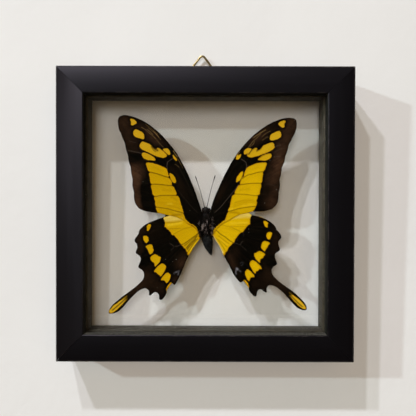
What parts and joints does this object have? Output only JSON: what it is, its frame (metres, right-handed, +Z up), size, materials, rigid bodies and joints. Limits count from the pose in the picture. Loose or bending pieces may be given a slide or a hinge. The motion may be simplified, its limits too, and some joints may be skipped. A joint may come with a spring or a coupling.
{
  "type": "framed butterfly specimen",
  "caption": "Black wooden double-glass frame holding a mounted yellow and black swallowtail butterfly, hung by a brass wire triangle.",
  "frame": {"origin": "centre of the bottom rail's underside, at half the frame's depth", "axes": "+X to the viewer's right, +Y from the front face towards the wall, +Z up as the frame hangs"},
  "size_m": [0.13, 0.025, 0.1398],
  "materials": {
    "frame_wood": "satin",
    "pane": "polished",
    "spacer": "matte",
    "point_steel": "satin",
    "hanger_brass": "polished",
    "insect_body": "matte",
    "wing": "matte",
    "adhesive": "gloss"
  },
  "bodies": {
    "frame": {"frame_rail_top": "frame_wood", "frame_rail_bottom": "frame_wood", "frame_rail_left": "frame_wood", "frame_rail_right": "frame_wood", "glass_front": "pane", "glass_back": "pane", "spacer_top": "spacer", "spacer_bottom": "spacer", "spacer_left": "spacer", "spacer_right": "spacer", "point_top": "point_steel", "point_bottom": "point_steel", "point_left": "point_steel", "point_right": "point_steel", "hanger_strap": "hanger_brass", "hanger_screw": "hanger_brass", "butterfly_body": "insect_body", "antenna_left": "insect_body", "antenna_right": "insect_body", "forewing_left": "wing", "forewing_right": "wing", "hindwing_left": "wing", "hindwing_right": "wing", "glue_dab": "adhesive"},
    "hanger_ring": {"hanger_ring": "hanger_brass"}
  },
  "joints": [
    {"name": "hanger_swing", "type": "hinge", "parent": "frame", "child": "hanger_ring", "pos_m": [-0.00175, 0.01267, 0.1261], "axis": [-1, 0, 0], "range_deg": [-20, 180]}
  ]
}
